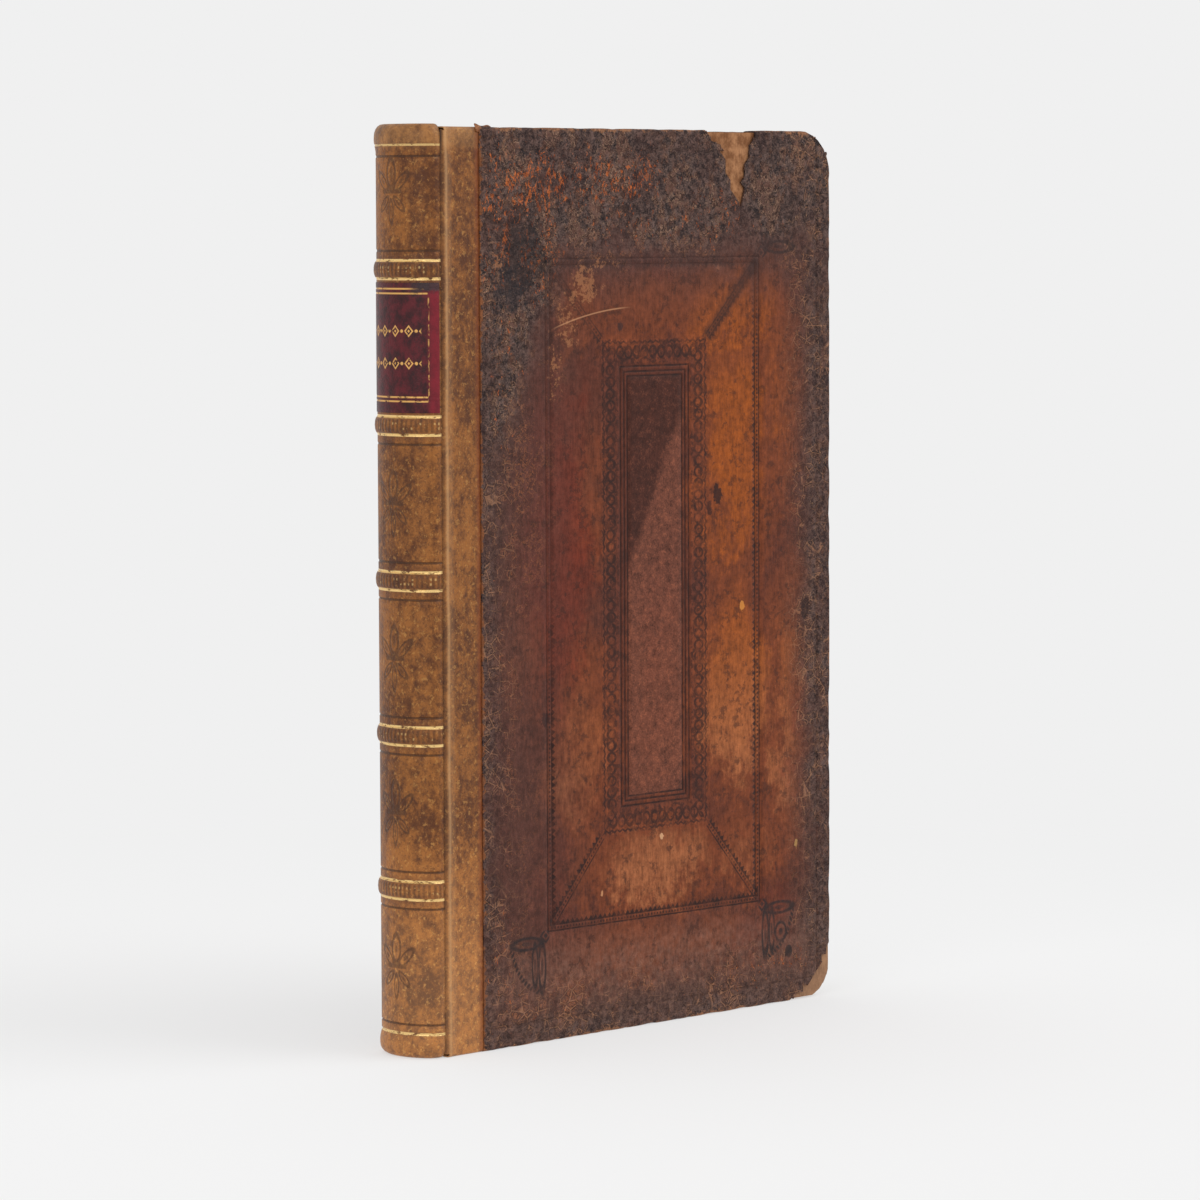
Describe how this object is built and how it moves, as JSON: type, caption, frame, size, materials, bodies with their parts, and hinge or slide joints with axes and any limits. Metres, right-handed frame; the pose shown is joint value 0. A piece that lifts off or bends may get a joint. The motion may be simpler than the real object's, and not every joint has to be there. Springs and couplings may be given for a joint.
{
  "type": "antique leather book",
  "caption": "Antique octavo book standing on its tail edges, in worn dark calf with a lighter calf spine, raised bands and a bare dark label; both covers open.",
  "frame": {"origin": "middle of the book's bounding box, on the tail edges that it stands on", "axes": "+Z from tail to head, +X from the spine to the fore edge, -Y the way the front cover faces"},
  "size_m": [0.1296, 0.019, 0.2],
  "materials": {
    "pages": "matte",
    "new_calf": "satin",
    "old_calf": "satin",
    "label_leather": "satin",
    "pasteboard": "matte",
    "hemp_cord": "matte",
    "lining_paper": "matte",
    "endband_silk": "satin",
    "pastedown_paper": "matte"
  },
  "bodies": {
    "book_block": {"text_block": "pages", "spine_leather": "new_calf", "title_label": "label_leather", "head_endband": "endband_silk", "tail_endband": "endband_silk", "sewing_cord_1": "hemp_cord", "sewing_cord_2": "hemp_cord", "sewing_cord_3": "hemp_cord", "sewing_cord_4": "hemp_cord", "sewing_cord_5": "hemp_cord", "spine_lining_1": "lining_paper", "spine_lining_2": "lining_paper", "spine_lining_3": "lining_paper", "spine_lining_4": "lining_paper", "spine_lining_5": "lining_paper", "spine_lining_6": "lining_paper"},
    "front_cover": {"front_board": "pasteboard", "front_leather": "old_calf", "front_hinge_leather": "new_calf", "front_pastedown": "pastedown_paper", "front_cord_slip_1": "hemp_cord", "front_cord_slip_2": "hemp_cord", "front_cord_slip_3": "hemp_cord", "front_cord_slip_4": "hemp_cord", "front_cord_slip_5": "hemp_cord"},
    "back_cover": {"back_board": "pasteboard", "back_leather": "old_calf", "back_hinge_leather": "new_calf", "back_pastedown": "pastedown_paper", "back_cord_slip_1": "hemp_cord", "back_cord_slip_2": "hemp_cord", "back_cord_slip_3": "hemp_cord", "back_cord_slip_4": "hemp_cord", "back_cord_slip_5": "hemp_cord"}
  },
  "joints": [
    {"name": "front_cover_hinge", "type": "hinge", "parent": "book_block", "child": "front_cover", "pos_m": [-0.05755, -0.00935, 0.1], "axis": [0, 0, -1], "range_deg": [0, 180]},
    {"name": "back_cover_hinge", "type": "hinge", "parent": "book_block", "child": "back_cover", "pos_m": [-0.05755, 0.00935, 0.1], "axis": [0, 0, 1], "range_deg": [0, 180]}
  ]
}
